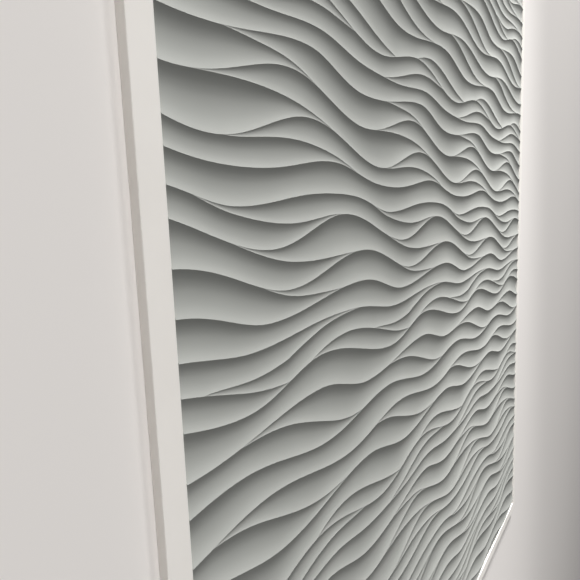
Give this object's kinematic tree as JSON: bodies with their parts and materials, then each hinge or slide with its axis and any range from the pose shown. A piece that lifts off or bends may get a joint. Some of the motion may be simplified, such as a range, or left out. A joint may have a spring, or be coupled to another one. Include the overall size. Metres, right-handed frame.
{
  "type": "carved wall panel",
  "caption": "Large fibreboard wall panel carved all over with flowing wave ridges, painted light grey, in a plain off-white mitred frame.",
  "frame": {"origin": "centre of the panel's flat back, on the floor it lies on", "axes": "+Z out of the carved face, +Y up the panel as it hangs, +X to the right along the waves"},
  "size_m": [1.902, 2.512, 0.016],
  "materials": {
    "grey_paint": "satin paint",
    "white_paint": "satin paint"
  },
  "bodies": {
    "root": {"carved_panel": "grey_paint", "left_stile": "white_paint", "right_stile": "white_paint", "top_rail": "white_paint", "bottom_rail": "white_paint"}
  },
  "joints": []
}
